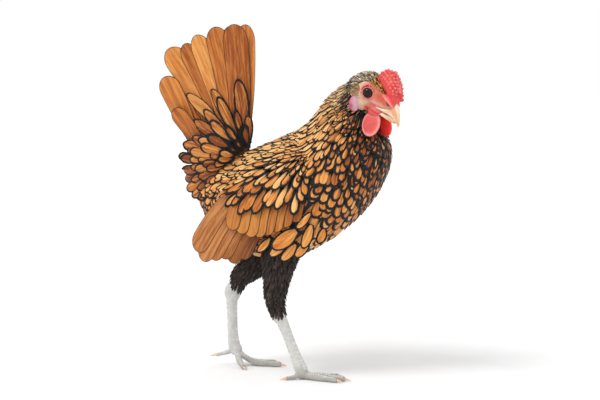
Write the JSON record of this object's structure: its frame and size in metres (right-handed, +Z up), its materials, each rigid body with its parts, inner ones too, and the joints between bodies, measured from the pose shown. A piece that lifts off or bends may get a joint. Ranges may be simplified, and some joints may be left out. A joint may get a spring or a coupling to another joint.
{
  "type": "chicken",
  "caption": "Bantam chicken standing in a walking step, with a raised fan tail, laced plumage, a rose comb and bare grey legs: a still life-size model.",
  "frame": {"origin": "on the floor, under the middle of the bird's bounding box", "axes": "+X towards the breast, +Y to the bird's left, +Z up"},
  "size_m": [0.2198, 0.1034, 0.308],
  "materials": {
    "plumage_gold": "soft feather, golden with black edges",
    "plumage_neck": "soft feather, grey-brown and gold",
    "plumage_tail": "smooth feather, orange gold",
    "plumage_dark": "dull downy feather, nearly black",
    "red_skin": "moist, finely wrinkled bare skin",
    "ear_lobe": "soft bare skin, pink to white",
    "beak_horn": "smooth horn",
    "eye": "wet and glossy",
    "leg_scales": "dry overlapping scales, light slate grey",
    "claw_horn": "smooth horn"
  },
  "bodies": {
    "root": {"trunk": "plumage_gold", "neck": "plumage_neck", "head": "plumage_neck", "comb": "red_skin", "beak_upper": "beak_horn", "beak_lower": "beak_horn", "eye_right": "eye", "eye_left": "eye", "wattle_right": "red_skin", "wattle_left": "red_skin", "ear_lobe_right": "ear_lobe", "ear_lobe_left": "ear_lobe", "wing_right_coverts": "plumage_gold", "wing_right_secondaries": "plumage_gold", "wing_right_primaries": "plumage_gold", "wing_left_coverts": "plumage_gold", "wing_left_secondaries": "plumage_gold", "wing_left_primaries": "plumage_gold", "tail_coverts": "plumage_gold", "tail_right": "plumage_tail", "tail_left": "plumage_tail", "thigh_right": "plumage_dark", "thigh_left": "plumage_dark", "shank_right": "leg_scales", "shank_left": "leg_scales", "foot_right": "leg_scales", "foot_left": "leg_scales", "claw_right_outer": "claw_horn", "claw_right_middle": "claw_horn", "claw_right_inner": "claw_horn", "claw_right_hind": "claw_horn", "claw_left_outer": "claw_horn", "claw_left_middle": "claw_horn", "claw_left_inner": "claw_horn", "claw_left_hind": "claw_horn"}
  },
  "joints": []
}
